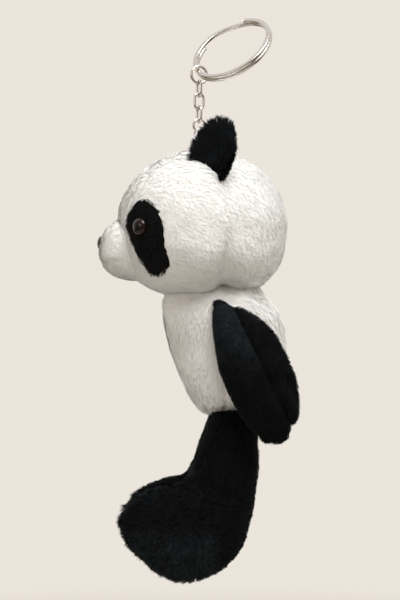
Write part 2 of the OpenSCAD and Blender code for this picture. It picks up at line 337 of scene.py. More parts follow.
class Fur:
    """How one stretch of plush looks: blades per square millimetre, their length and width in mm, and
    their lift from the cloth in degrees. `clump` is how wide the tufts are in mm, `gather` how far their
    tips draw together, `comb` gives their lie, `messy` how much it varies, and `stretch` lengthens them in
    places."""

    def __init__(self, density, length, width, lift, clump, comb, messy, stretch=None, *, seed, gather=0.3):
        self.density, self.length, self.width, self.lift = density, length, width, lift
        self.clump, self.comb, self.messy, self.stretch = clump, comb, messy, stretch
        self.seed, self.gather = seed, gather


def spread(points, triangles, normals, count, random):
    """Evenly scattered places over a surface, with its normal at each."""
    a, b, c = (points[triangles[:, k]] for k in range(3))
    area = np.linalg.norm(np.cross(b - a, c - a), axis=1)
    pick = random.choice(len(triangles), count, p=area / area.sum())
    u, v = random.random((2, count, 1))
    u, v = np.where(u + v > 1, 1 - u, u), np.where(u + v > 1, 1 - v, v)
    places = a[pick] + u * (b - a)[pick] + v * (c - a)[pick]
    na, nb, nc = (normals[triangles[pick, k]] for k in range(3))
    return places, unit(na * (1 - u - v) + nb * u + nc * v)


def surface_area(points, triangles):
    a, b, c = (points[triangles[:, k]] for k in range(3))
    return np.linalg.norm(np.cross(b - a, c - a), axis=1).sum() / 2


ROOT_DEPTH = 0.15
BLADE_ALONG = (0.25, 0.25, 0.75, 0.75, 1.0)
CLOTH_ALONG = 0.35


def grow(points, triangles, normals, fur, keep=None):
    """Plush blades over a surface: each is a narrow leaf of three triangles, laid along the comb's
    direction, gathered into tufts and turned so that its face looks away from the cloth."""
    random = np.random.default_rng(fur.seed)
    count = int(surface_area(points, triangles) * fur.density * FUR_SHARE)
    root, normal = spread(points, triangles, normals, count, random)
    if keep is not None:
        chosen = keep(root, normal)
        root, normal = root[chosen], normal[chosen]
    n = len(root)
    lie = fur.comb(root, normal) + fur.messy * vector_noise(root, fur.clump * 2.2, fur.seed + 7)
    cell = np.floor((root + 0.6 * fur.clump * vector_noise(root, fur.clump, fur.seed + 11)) / fur.clump)
    _, clump = np.unique(cell.astype(np.int64), axis=0, return_inverse=True)
    clump = clump.reshape(-1)
    jitter = random.normal(0, fur.messy * 0.8, (clump.max() + 1, 3))
    lie = lie + jitter[clump] + random.normal(0, fur.messy * 0.45, (n, 3))
    lie = unit(lie - normal * np.einsum("ij,ij->i", lie, normal)[:, None])
    stretch = 1.0 if fur.stretch is None else fur.stretch(root, normal)
    length = fur.length * stretch * random.uniform(0.7, 1.25, n)
    lift = np.radians(fur.lift) * random.uniform(0.6, 1.4, n)
    if fur.stretch is not None:
        lift = lift * (0.7 + 0.3 * stretch)
    lift = np.clip(lift, 0.05, 1.45)[:, None]
    rise = np.cos(lift) * lie + np.sin(lift) * normal
    bent = unit(np.cos(lift * 0.5) * lie + np.sin(lift * 0.5) * normal)
    middle = root + rise * (length * 0.5)[:, None]
    tip = middle + bent * (length * 0.5)[:, None]
    count_in = np.bincount(clump)
    centre = np.stack([np.bincount(clump, tip[:, k]) for k in range(3)], 1) / count_in[:, None]
    tip = tip + (centre[clump] - tip) * fur.gather
    side = unit(np.cross(rise, normal)) * (fur.width * random.uniform(0.7, 1.2, n) * 0.5)[:, None]
    root = root - normal * ROOT_DEPTH
    blades = np.stack([root - side, root + side, middle - side * 0.85, middle + side * 0.85, tip], 1)
    faces = (np.arange(n) * len(BLADE_ALONG))[:, None, None] + np.array([[0, 1, 3], [0, 3, 2], [2, 3, 4]])
    a, b, c = blades[:, 0], blades[:, 1], blades[:, 3]
    backwards = np.einsum("ij,ij->i", np.cross(b - a, c - a), normal) < 0
    faces[backwards] = faces[backwards][:, :, ::-1]
    looks = unit(normal + random.normal(0, 0.06, (n, 3)) + jitter[clump] * 0.15)
    looks = np.repeat(looks, len(BLADE_ALONG), axis=0)
    along = np.tile(BLADE_ALONG, n)
    return blades.reshape(-1, 3), faces.reshape(-1, 3), looks, along


def plush(name, points, triangles, material, fur, keep_faces=None, keep=None, normals=None, tone=None):
    """One sewn panel: its cloth and the pile that grows on it, as one piece. `keep_faces` picks the panel
    out of the whole form, `keep` says where pile grows, and `tone` darkens places; where it darkens less it
    leaves painted highlights and sheen."""
    if normals is None:
        normals = point_normals(points, triangles)
    if keep_faces is not None:
        triangles = triangles[keep_faces(points[triangles].mean(1))]
    blades, faces, looks, along = grow(points, triangles, normals, fur, keep)
    used, renumbered = np.unique(triangles, return_inverse=True)
    cloth, cloth_normals = points[used], normals[used]
    triangles = renumbered.reshape(-1, 3)
    places = np.concatenate([cloth, blades])
    along = np.concatenate([np.full(len(cloth), CLOTH_ALONG), along])
    if tone is not None:
        along = along * tone(places)
    return link_mesh(name, places, np.concatenate([triangles, faces + len(cloth)]), material, along,
                     np.concatenate([cloth_normals, looks]))


def seat(piece, body, slot, *nodes, fill=None):
    """Puts a finished piece on its body, in place of its CAD nodes."""
    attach(piece, body)
    return name_piece(piece, slot, *nodes, fill=fill)


def name_piece(piece, slot, *nodes, fill=None):
    """Hides the CAD nodes that a piece stands for; its material slot and its fill are not used."""
    if nodes:
        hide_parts(*nodes)
    return piece


def seat_filling(body, name, points, triangles):
    """The loose filling inside a stuffed form, in place of the plain CAD one."""
    normals = point_normals(points, triangles)
    lumps = 0.35 * value_noise(points, 5, 27)
    filling = link_mesh(f"{name}_filling", points + normals * lumps[:, None], triangles, FIBRE)
    seat(filling, body, "fibre_filling", f"{name}_stuffing")


def shrunk(sections, by):
    """Loft sections moved in by `by` mm on every side."""
    rows = np.array(sections, float)
    across = unit(rows[:, 2:4] - rows[:, 0:2]) * by
    rows[:, 0:2] += across
    rows[:, 2:4] -= across
    rows[:, 5] -= by
    return rows[1:-1]


def combed(*direction):
    """A comb that lays the pile one way."""
    lie = np.array(direction, float)
    return lambda root, normal: np.broadcast_to(lie, root.shape)


# ---------------------------------------------------------------- head

HEAD_AT = np.array([0, 1.0, -52.75])
HEAD_HALF = np.array([29.5, 29.3, 25.5])
SIDE_SEAM_Y = 9.5
MUZZLE_AT = np.array([0, -21.4, -61.6])
MUZZLE_HALF = np.array([14.0, 12.6, 11.0])
MUZZLE_POWER = 2.4
MOUTH_Z = -66
PATCH_AT = np.array([-17.4, -57.6])
PATCH_OUTLINE = np.array([
    (-18.1, -45.3), (-15.3, -47.1), (-13.7, -49.9), (-12.5, -53.8), (-12.0, -57.7), (-11.7, -61.1),
    (-10.9, -64.0), (-9.8, -65.5), (-10.0, -67.8), (-11.7, -69.7), (-14.2, -70.6), (-16.4, -70.0),
    (-18.1, -67.8), (-19.8, -65.0), (-21.7, -61.1), (-23.4, -57.2), (-24.6, -53.3), (-24.0, -49.9),
    (-22.0, -47.1), (-20.1, -45.7)])


def squared(directions, power):
    """How far each direction goes to reach a ball whose sections are squared off by `power`."""
    across = np.hypot(directions[:, 0], directions[:, 1])
    return (across**power + np.abs(directions[:, 2]) ** power) ** (-1 / power)


def head_points(directions):
    """The head's surface along each direction, pressed in at the seams and full at the cheeks."""
    power = 2 + 0.75 * smooth(-directions[:, 2], 0.0, 0.45)
    points = HEAD_AT + directions * HEAD_HALF * squared(directions, power)[:, None]
    y, z = points[:, 1], points[:, 2]
    low = smooth(-z, 52, 72)
    width = 1.5 + 1.3 * low
    groove = np.exp(-((y - SIDE_SEAM_Y + 1.2 * low) / width) ** 2) * (0.25 + 2.0 * low) * smooth(-z, 30, 45)
    crown = np.exp(-(points[:, 0] / 0.9) ** 2) * 0.35
    cheek = np.exp(-((y + 2) / 13) ** 2 - ((z + 61) / 8) ** 2) * 1.0
    lumps = value_noise(points, 9, 3) * 0.35 + value_noise(points, 4, 5) * 0.12
    return points + directions * (cheek + lumps - groove - crown)[:, None]


def patch_reach(turn):
    """Distance from the eye patch's middle to its outline, seen from the side."""
    spokes = PATCH_OUTLINE - PATCH_AT
    at = np.arctan2(spokes[:, 1], spokes[:, 0])
    order = np.argsort(at)
    return np.interp(turn, at[order], np.linalg.norm(spokes, axis=1)[order], period=2 * math.pi)


def in_patch(y, z):
    """Below 1 inside the eye patch, seen from the side."""
    v, w = y - PATCH_AT[0], z - PATCH_AT[1]
    return np.hypot(v, w) / patch_reach(np.arctan2(w, v))


def in_muzzle(points, shrink=0.0):
    """Below 1 inside the muzzle, taken `shrink` mm smaller all round."""
    return (np.abs((points - MUZZLE_AT) / (MUZZLE_HALF - shrink)) ** MUZZLE_POWER).sum(1)


def head_comb(root, normal):
    """The pile runs back from the nose and down over the cheeks."""
    away = unit(root - np.array([0, -32, -58]))
    return away * 0.7 + np.array([0, 0.15, -0.75])


def make_head():
    directions, triangles = oval_directions(120, 160)
    points = head_points(directions)
    triangles = outward(points, triangles)
    normals = point_normals(points, triangles)

    def grows(root, normal):
        """The pile stops at the muzzle and at the eye patches' ragged outlines."""
        ragged = value_noise(root, 1.4, 21) * 0.06
        front = 0.07 * smooth(-root[:, 1], 17, 21) + 0.07 * smooth(-root[:, 2], 65, 69)
        off_patch = (in_patch(root[:, 1], root[:, 2]) + ragged - front > 0.97) | (root[:, 1] > -8)
        return off_patch & (in_muzzle(root, 0.6) > 1)

    fur = dict(density=8.5, length=1.9, width=0.27, lift=15, clump=1.6, comb=head_comb, messy=0.24)
    for side, sign in SIDES:
        def front_half(middles):
            half = (middles[:, 0] * sign > 0) & (middles[:, 1] < SIDE_SEAM_Y)
            return half & (in_muzzle(middles, 1.2) > 1)

        def back_half(middles):
            return (middles[:, 0] * sign > 0) & (middles[:, 1] >= SIDE_SEAM_Y)

        face = plush(f"face_{side}", points, triangles, WHITE_FUR, Fur(**fur, seed=31 + sign),
                     front_half, grows, normals)
        seat(face, "head", "white_plush", f"face_panel_{side}", fill=0.8)
        back = plush(f"back_head_{side}", points, triangles, WHITE_FUR, Fur(**fur, seed=41 + sign),
                     back_half, None, normals)
        seat(back, "head", "white_plush", f"back_head_panel_{side}", fill=0.8)
    inner, triangles = oval_directions(40, 60)
    seat_filling("head", "head", HEAD_AT + inner * (HEAD_HALF - 3.2), triangles)


def project_to_head(y, z, sign):
    """Places on the head's side, for points given as seen from that side."""
    v, w = (y - HEAD_AT[1]) / HEAD_HALF[1], (z - HEAD_AT[2]) / HEAD_HALF[2]
    x = np.sqrt(np.clip(1 - v**2 - w**2, 0.02, 1))
    directions = unit(np.stack([sign * x, v, w], -1))
    for _ in range(4):
        points = head_points(directions)
        missed = np.stack([np.zeros(len(y)), y - points[:, 1], z - points[:, 2]], -1)
        directions = unit(directions + missed / HEAD_HALF)
    return head_points(directions)


def make_eye_patch(side, sign):
    rows, columns = 16, 72
    turn = np.linspace(0, 2 * math.pi, columns, endpoint=False)
    share, turn = np.meshgrid(np.linspace(0.02, 1.03, rows), turn, indexing="ij")
    reach = share * patch_reach(turn)
    y, z = PATCH_AT[0] + reach * np.cos(turn), PATCH_AT[1] + reach * np.sin(turn)
    points = project_to_head(y.ravel(), z.ravel(), sign)
    triangles = grid_triangles(rows, columns)
    normals = point_normals(points, triangles)
    if (normals[:, 0] * sign).mean() < 0:
        triangles, normals = triangles[:, ::-1], -normals
    points = points + normals * (0.45 - 0.5 * smooth(share.ravel(), 0.9, 1.0))[:, None]
    fur = Fur(9.0, 1.15, 0.26, 32, 1.0, combed(0, 0.25, -0.9), 0.4, seed=51 + sign)
    patch = plush(f"eye_patch_{side}_pile", points, triangles, BLACK_NAP, fur, normals=normals)
    seat(patch, "head", "black_felted_plush", f"eye_patch_{side}")


def muzzle_comb(root, normal):
    return unit(root - np.array([0, -36, -60])) + np.array([0, 0, -0.25])


def make_muzzle():
    directions, triangles = oval_directions(84, 112)
    size = (np.abs(directions) ** MUZZLE_POWER).sum(1) ** (-1 / MUZZLE_POWER)
    points = MUZZLE_AT + directions * MUZZLE_HALF * size[:, None]
    x, ahead, below = points[:, 0], -points[:, 1], -points[:, 2]
    seam = np.exp(-((below + MOUTH_Z) / 0.8) ** 2) * smooth(ahead, 22, 32) * 0.35
    cleft = np.exp(-(x / 0.9) ** 2) * smooth(ahead, 28, 32) * smooth(below, 58, 63) * 0.5
    lips = np.exp(-((below - 64.5) / 4.5) ** 2) * smooth(ahead, 24, 33) * 0.9
    lumps = value_noise(points, 5, 13) * 0.2
    points = points + directions * (lumps + lips - seam - cleft)[:, None]
    triangles = outward(points, triangles)
    normals = point_normals(points, triangles)

    def outside_head(p):
        v = (p - HEAD_AT) / (HEAD_HALF - 2.5)
        return (v**2).sum(1) > 1

    fur = dict(density=9.0, length=1.3, width=0.26, lift=25, clump=1.3, comb=muzzle_comb, messy=0.30)
    for name, low, high, seed in (("muzzle_top", MOUTH_Z, 0, 61), ("muzzle_chin", -100, MOUTH_Z, 62)):
        def part(middles):
            return (middles[:, 2] > low) & (middles[:, 2] <= high) & outside_head(middles)

        piece = plush(name, points, triangles, WHITE_FUR, Fur(**fur, seed=seed), part, None, normals)
        seat(piece, "head", "muzzle_plush", f"{name}_panel", fill=0.8)


def lathe(profile, columns=48):
    """A round solid from (radius, height) pairs, bottom to top."""
    radius, height = np.array(profile, float).T
    turn = np.linspace(0, 2 * math.pi, columns, endpoint=False)
    points = np.stack([np.outer(radius, np.cos(turn)), np.outer(radius, np.sin(turn)),
                       np.repeat(height[:, None], columns, 1)], -1).reshape(-1, 3)
    return points, outward(points, grid_triangles(len(profile), columns))


def dome_profile(radius, rise, stem, length):
    """A safety eye: a stem, a flat seat with a rounded rim, and a dome."""
    profile = [(0.01, -length), (stem, -length), (stem, -0.6), (radius * 0.9, -0.6), (radius, -0.3)]
    for a in np.linspace(0, math.pi / 2, 14)[:-1]:
        profile.append((radius * math.cos(a), rise * math.sin(a)))
    return profile + [(0.01, rise)]


def place(points, at, x_axis, y_axis, z_axis):
    """Points moved from their own axes to the head's."""
    return np.array(at) + points[:, :1] * x_axis + points[:, 1:2] * y_axis + points[:, 2:] * z_axis


def make_eye(side, sign):
    yaw, radius = math.radians(47), 3.0
    out = np.array([sign * math.cos(yaw), -math.sin(yaw), 0.0])
    surface = project_to_head(np.array([-19.4]), np.array([-54.8]), sign)[0]
    points, triangles = lathe(dome_profile(radius, 2.2, 1.2, 5.5))
    along = np.hypot(points[:, 0], points[:, 1]) / radius
    placed = place(points, surface + out * 0.55, np.cross(UP, out), UP, out)
    eye = link_mesh(f"eye_{side}_dome", placed, outward(placed, triangles), EYE, along)
    seat(eye, "head", "eye_plastic", f"eye_{side}")


def make_nose():
    points, triangles = lathe(dome_profile(1.0, 0.62, 0.34, 1.9), 64)
    x, y = points[:, 0].copy(), points[:, 1].copy()
    along = np.hypot(x, y)
    narrow = 1 - 0.16 * np.clip(-y, 0, 1)
    wide = np.where(points[:, 2] > -0.7, 1.0, 0.45)
    points = np.stack([x * 4.0 * narrow * wide, y * 2.75 * wide, points[:, 2] * 2.9], -1)
    placed = place(points, (0, -33.9, -59.8), np.array([1.0, 0, 0]), UP, np.array([0, -1.0, 0]))
    nose = link_mesh("nose_dome", placed, outward(placed, triangles), NOSE, along)
    seat(nose, "head", "nose_plastic", "nose")


def make_ear(side, sign):
    """A cupped leaf that stands on the head's upper side, folded at its pointed base."""
    turn = math.radians(42)
    across = np.array([sign * math.cos(turn), math.sin(turn), 0])
    ahead = np.array([sign * math.sin(turn), -math.cos(turn), 0])
    up = unit(np.array([-sign * 0.04, -0.05, 1.0]))
    base = np.array([sign * 22.6, 7.8, -41.0])
    rows, columns = 40, 40
    half_width, tall, widest = 9.4, 21.4, 0.52
    v, w = np.meshgrid(np.linspace(0.0, 1.0, rows), np.linspace(-1, 1, columns), indexing="ij")
    below = np.sin(math.pi / 2 * np.clip(v / widest, 0, 1)) ** 0.85
    above = np.sqrt(np.clip(1 - ((v - widest) / (1 - widest)) ** 2, 0, 1))
    share = np.where(v < widest, below, above)
    spread_out, height = share * half_width * np.sin(w * math.pi / 2), v * tall
    fold = np.exp(-((w - 0.1) / 0.16) ** 2) * (1 - v) * 1.1
    cup = 3.4 * (spread_out / half_width) ** 2 * (1.15 - 0.75 * v)
    puff = 1.5 * np.sqrt(np.clip((1 - w**2) * share, 0, 1))

    def tuft(root, normal):
        rim = smooth(np.abs((root - base) @ across), 6, 9.2)
        top = smooth((root - base) @ up, 14.5, 20.5)
        return 1 + 0.7 * np.maximum(rim, top)

    def comb(root, normal):
        return unit(root - (base + up * 9)) * 0.9 + up * 0.35

    # Painted sheen: lighter patches scattered over the ear's pile.
    def tone(root):
        return 0.22 + 0.16 * value_noise(root, 2.5, 37)

    for label, face, seed in (("front", 1, 71), ("back", -1, 72)):
        depth = cup + face * puff - (fold if face > 0 else 0)
        points = base + spread_out[..., None] * across + height[..., None] * up + depth[..., None] * ahead
        points[..., 1] -= 2.2 * (1 - v) ** 2
        points = points.reshape(-1, 3)
        triangles = grid_triangles(rows, columns, closed=False)
        normals = point_normals(points, triangles)
        if (normals @ (ahead * face)).mean() < 0:
            triangles, normals = triangles[:, ::-1], -normals
        fur = Fur(9.0, 1.8, 0.28, 26, 1.4, comb, 0.45, tuft, seed=seed + 5 * sign)
        ear = plush(f"ear_{side}_{label}", points, triangles, BLACK_FUR, fur, normals=normals, tone=tone)
        seat(ear, "head", "black_plush", f"ear_{side}_{label}_panel")


# ---------------------------------------------------------------- torso and limbs

# Each form's oval sections from its top down, as loft() takes them.
TORSO = [
    [-10.2, -75.5, 20.5, -75.0, 0, 14.5],
    [-12.2, -79.5, 23.0, -78.5, 0, 17.0],
    [-12.2, -84, 26.8, -83.0, 0, 18.4],
    [-11.2, -90, 29.3, -90, 0, 18.6],
    [-9.0, -98.5, 30.2, -98.5, 0, 18.6],
    [-6.6, -106, 28.6, -106, 0, 18.0],
    [-3.4, -113, 25.2, -113, 0, 16.2],
    [0.6, -117.6, 20.6, -117.6, 0, 13.0],
    [5.5, -119.4, 16.8, -119.4, 0, 9.5],
]
ARM = [
    [5.2, -81.6, 9.6, -80.7, 20.2, 2.4],
    [4.6, -85.3, 16.8, -83.6, 22.8, 4.2],
    [4.8, -91.0, 24.0, -89.4, 25.0, 5.4],
    [5.9, -97.5, 28.2, -96.6, 25.8, 6.0],
    [7.7, -105.2, 31.6, -104.3, 26.2, 6.2],
    [11.0, -113.0, 33.2, -112.6, 26.2, 6.0],
    [15.3, -120.2, 32.6, -118.4, 25.9, 4.8],
    [20.0, -124.2, 29.4, -123.6, 25.5, 2.9],
]
LEG = [
    [4.6, -119.4, 18.2, -119.2, 11, 7.4],
    [2.8, -123.9, 19.6, -123.7, 11, 8.8],
    [0.5, -129.8, 20.1, -131.3, 11, 9.3],
    [-2.4, -137.2, 19.5, -142.6, 11, 9.7],
    [-6.1, -141.8, 17.1, -154.6, 11, 9.9],
    [-11.5, -143.3, 13.8, -164.6, 11, 10.0],
    [-16.3, -144.9, 7.2, -171.8, 11, 10.0],
    [-20.3, -147.0, -2.9, -174.9, 11, 9.7],
    [-23.0, -149.8, -12.8, -172.4, 11, 8.5],
    [-24.6, -153.2, -20.6, -165.8, 11, 6.2],
]
LEG_X = 11
# How squared off each form's ovals are; 2 is a plain oval.
TORSO_POWER, ARM_POWER, LEG_POWER = 2.25, 2.1, 2.25
TORSO_CAPS = (0.15, 0.18)
TORSO_SEAM_Y = 9.0


def turned_to(points, triangles, sign):
    """A left limb's form, or its mirror image on the right."""
    points = points * np.array([sign, 1, 1])
    return points, outward(points, triangles)


def make_torso():
    points, triangles = loft(TORSO, squareness=TORSO_POWER, caps=TORSO_CAPS)
    normals = point_normals(points, triangles)
    seam = np.exp(-((points[:, 1] - TORSO_SEAM_Y) / 1.1) ** 2) * (np.abs(points[:, 0]) > 6) * 0.6
    lumps = value_noise(points, 8, 17) * 0.4 + value_noise(points, 4, 18) * 0.15
    points = points + normals * (lumps - seam)[:, None]
    normals = point_normals(points, triangles)

    def comb(root, normal):
        return np.array([0, -0.1, -0.9]) + vector_noise(root, 11, 81) * 0.8

    for label, face in (("front", -1), ("back", 1)):
        def part(middles):
            return (middles[:, 1] - TORSO_SEAM_Y) * face > 0

        fur = Fur(7.5, 2.0, 0.28, 21, 1.7, comb, 0.26, seed=83 + face)
        piece = plush(f"torso_{label}", points, triangles, WHITE_FUR, fur, part, None, normals)
        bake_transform(piece)
        name_piece(piece, "white_plush", f"torso_{label}_panel", fill=0.75)
    seat_filling("torso", "torso", *loft(shrunk(TORSO, 3), 40, 4, TORSO_POWER, TORSO_CAPS))


def make_arm(side, sign):
    """A flat curved arm of two panels, whose seam runs down its outer face."""
    points, triangles = loft(ARM, squareness=ARM_POWER, caps=(0.9, 0.55))
    seam_at, slope = np.array([11.5, -82.3]), math.radians(63.5)
    toward_rear = np.array([math.sin(slope), math.cos(slope)])

    def behind(p):
        return (p[:, 1:] - seam_at) @ toward_rear

    outer = smooth(points[:, 0], 24, 29)
    groove = np.exp(-(behind(points) / 0.9) ** 2) * (0.4 + 0.5 * outer)
    fold = np.exp(-((behind(points) - 5.5) / 1.6) ** 2) * outer * smooth(-points[:, 2], 92, 104) * 0.7
    lumps = value_noise(points, 6, 19) * 0.35
    points = points + point_normals(points, triangles) * (lumps - groove - fold)[:, None]
    points, triangles = turned_to(points, triangles, sign)
    normals = point_normals(points, triangles)

    def grows(root, normal):
        return np.abs(behind(root)) > 0.25

    def shaggy(root, normal):
        return 1 + 0.9 * smooth(-root[:, 2], 119, 127)

    def comb(root, normal):
        return np.array([0, 0.35, -0.9]) + vector_noise(root, 7, 91) * 0.35

    # Painted highlight: the front panel's pile is lighter towards the top, where it catches the light.
    def front_painted_highlight(root):
        return 0.18 + 0.8 * smooth(root[:, 2], -107, -90) * (0.8 + 0.25 * value_noise(root, 1.1, 33))

    def rear_tone(root):
        return 0.17 + 0.08 * value_noise(root, 2.5, 39)

    front_fur = Fur(9.5, 1.15, 0.26, 24, 1.1, comb, 0.4, shaggy, seed=93 + sign)
    rear_fur = Fur(8.5, 1.9, 0.28, 25, 1.5, comb, 0.4, shaggy, seed=97 + sign)
    for label, face, fur, tone in (("front", -1, front_fur, front_painted_highlight), ("rear", 1, rear_fur, rear_tone)):
        def part(middles):
            return behind(middles) * face > 0

        piece = plush(f"arm_{side}_{label}", points, triangles, BLACK_FUR, fur, part, grows, normals, tone)
        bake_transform(piece)
        name_piece(piece, "black_plush", f"arm_{side}_{label}_panel", fill=0.6)
    inside = loft(shrunk(ARM, 2.1), 32, 4, ARM_POWER)
    seat_filling(f"arm_{side}", f"arm_{side}", *turned_to(*inside, sign))


def make_leg(side, sign):
    """A leg and its foot, of two panels that meet in the leg's middle plane."""
    points, triangles = loft(LEG, squareness=LEG_POWER, caps=(0.25, 0.45))
    seam = np.exp(-((points[:, 0] - LEG_X) / 0.8) ** 2) * 0.45
    ankle = np.exp(-((points[:, 1] + 3) ** 2 + (points[:, 2] + 143) ** 2) / 20) * 0.6
    lumps = value_noise(points, 8, 23) * 0.45 + value_noise(points, 4, 24) * 0.15
    points = points + point_normals(points, triangles) * (lumps - seam - ankle)[:, None]
    points, triangles = turned_to(points, triangles, sign)
    normals = point_normals(points, triangles)

    def fringe(root, normal):
        """Long pile round the toe and the sole, where the panels meet."""
        toe = smooth(-root[:, 1], 8, 22) * smooth(-root[:, 2], 144, 150)
        sole = smooth(-root[:, 2], 160, 172) * smooth(-root[:, 1], -8, 8)
        rim = smooth(np.hypot(normal[:, 1], normal[:, 2]), 0.45, 0.9)
        return 1 + 0.9 * np.maximum(toe, sole) * rim

    def comb(root, normal):
        foot = smooth(-root[:, 2], 140, 156)[:, None]
        down = np.array([0, 0.1, -1.0])
        away = unit((root - np.array([LEG_X * sign, 0, -152])) * np.array([0.3, 1, 1]))
        return down * (1 - foot) + away * foot

    # Painted sheen: the sole and the front of the shank are lighter, where the pile catches the light;
    # elsewhere the shade varies at random.
    def tone(root):
        sole = smooth(-root[:, 2], 155, 163) * smooth(-root[:, 1], -9, -3)
        painted_shank_sheen = smooth(-root[:, 1], 0, 3) * smooth(root[:, 2], -142, -134)
        painted_sole_sheen = 0.75 * sole * (0.7 + 0.4 * value_noise(root, 1.3, 35))
        return 0.16 + 0.07 * value_noise(root, 4, 36) + painted_sole_sheen + 0.25 * painted_shank_sheen

    for label, face in (("outer", 1), ("inner", -1)):
        def part(middles):
            return (middles[:, 0] * sign - LEG_X) * face > 0

        seed = 101 + 3 * sign + face
        fur = Fur(7.5, 2.0, 0.29, 25, 1.5, comb, 0.38, fringe, seed=seed, gather=0.5)
        piece = plush(f"leg_{side}_{label}", points, triangles, BLACK_FUR, fur, part, None, normals, tone)
        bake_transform(piece)
        name_piece(piece, "black_plush", f"leg_{side}_{label}_panel", fill=0.7)
    inside = loft(shrunk(LEG, 3), 32, 4, LEG_POWER)
    seat_filling(f"leg_{side}", f"leg_{side}", *turned_to(*inside, sign))


# ---------------------------------------------------------------- ring, chain and ribbon

# Sizes of the wires and rings in millimetres, and their heights from the hung wire's middle.
RING_SLOPE, RING_LEAN = math.radians(35), math.radians(52)
CHAIN_YAW = math.atan2(math.sin(RING_SLOPE) * math.cos(RING_LEAN), math.sin(RING_LEAN))
KEY_R, KEY_W, KEY_T = 14.2, 1.6, 1.2
CONNECTOR_Z, CONNECTOR_R, WIRE = -0.72, 3.0, 0.9
LINK_SPAN, LINK_PITCH, LINK_END_R = 5.5, 4.5, 1.65
END_TOP, END_R, END_WIRE = -16.27, 2.15, 0.8
END_BOTTOM = END_TOP - 2 * END_R
# The connector ring's hole axis, and the level direction in its plane.
HOLE = np.array([math.cos(CHAIN_YAW), math.sin(CHAIN_YAW), 0.0])
LEVEL = np.array([-math.sin(CHAIN_YAW), math.cos(CHAIN_YAW), 0.0])


def sweep(path, normals, profile, closed=False):
    """A solid along a path: `profile` is in mm, along each point's normal and its second normal."""
    along = np.gradient(path, axis=0) if not closed else np.roll(path, -1, 0) - np.roll(path, 1, 0)
    along = unit(along)
    first = unit(normals - along * np.einsum("ij,ij->i", normals, along)[:, None])
    second = np.cross(along, first)
    rings = path[:, None] + profile[None, :, :1] * first[:, None] + profile[None, :, 1:] * second[:, None]
    columns = len(profile)
    if closed:
        rings = np.concatenate([rings, rings[:1]])
    points = rings.reshape(-1, 3)
    triangles = grid_triangles(len(rings), columns)
    if not closed:
        last = (len(rings) - 1) * columns
        fan = np.array([[0, k, k + 1] for k in range(1, columns - 1)])
        triangles = np.concatenate([triangles, fan, last + fan[:, ::-1]])
    a, b, c = (points[triangles[:, k]] for k in range(3))
    if np.einsum("ij,ij->i", a, np.cross(b, c)).sum() < 0:
        triangles = triangles[:, ::-1]
    return points, triangles


def round_profile(diameter, columns=20):
    """A round wire's section, for sweep()."""
    turn = np.linspace(0, 2 * math.pi, columns, endpoint=False)
    return np.stack([np.cos(turn), np.sin(turn)], -1) * diameter / 2


def key_ring_axes():
    """From the hung wire to the ring's middle, across that in the ring's plane, and the ring's axis."""
    p = np.array([0, math.cos(RING_SLOPE), math.sin(RING_SLOPE)])
    r = np.array([0, -math.sin(RING_SLOPE), math.cos(RING_SLOPE)])
    x = np.array([1.0, 0, 0])
    q = math.cos(RING_LEAN) * r - math.sin(RING_LEAN) * x
    return p, q, np.cross(p, q)


def make_key_ring():
    """Flat wire in two coils, stepping from one to the other near the ring's top."""
    p, q, n = key_ring_axes()
    step_at, half_step, wire_end = 82, 30, 6
    angle = np.linspace(step_at + half_step + wire_end, step_at + 720 - half_step - wire_end, 420)
    u = np.clip((angle - step_at - 360) / half_step, -1, 1)
    height = (KEY_T + 0.1) / 2 * np.sin(u * math.pi / 2)
    a = np.radians(angle)
    radial = np.cos(a)[:, None] * p + np.sin(a)[:, None] * q
    path = p * KEY_R + radial * KEY_R + height[:, None] * n
    corners = []
    w, t, bevel = KEY_W / 2, KEY_T / 2, 0.34
    for cx, cy, start in ((w - bevel, t - bevel, 0), (bevel - w, t - bevel, 90),
                          (bevel - w, bevel - t, 180), (w - bevel, bevel - t, 270)):
        for k in range(5):
            b = math.radians(start + k * 22.5)
            corners.append((cx + bevel * math.cos(b), cy + bevel * math.sin(b)))
    points, triangles = sweep(path, radial, np.array(corners))
    ring = link_mesh("key_ring_wire", points, triangles, STEEL)
    seat(ring, "key_ring", "key_ring_steel", "key_ring")


def make_wire_ring(name, radius, wire, middle_z):
    """A ring of round wire, bent until its ends nearly meet."""
    a = np.radians(np.linspace(4, 356, 90))
    radial = np.cos(a)[:, None] * LEVEL + np.sin(a)[:, None] * UP
    points, triangles = sweep(radial * radius + UP * middle_z, radial, round_profile(wire))
    seat(link_mesh(f"{name}_wire", points, triangles, STEEL), name, "chain_steel", name)


def make_link(number):
    """An oval link, a quarter turn from the one above."""
    plane = HOLE if number % 2 else LEVEL
    top = CONNECTOR_Z - CONNECTOR_R + WIRE + 0.1 - (number - 1) * LINK_PITCH
    straight = LINK_SPAN / 2 - LINK_END_R
    a = np.radians(np.linspace(0, 360, 96, endpoint=False))
    radial = np.cos(a)[:, None] * plane + np.sin(a)[:, None] * UP
    path = radial * LINK_END_R + np.sign(np.sin(a))[:, None] * UP * straight + UP * (top - LINK_SPAN / 2)
    points, triangles = sweep(path, radial, round_profile(WIRE), closed=True)
    piece = link_mesh(f"chain_link_{number}_wire", points, triangles, STEEL)
    seat(piece, f"chain_link_{number}", "chain_steel", f"chain_link_{number}")


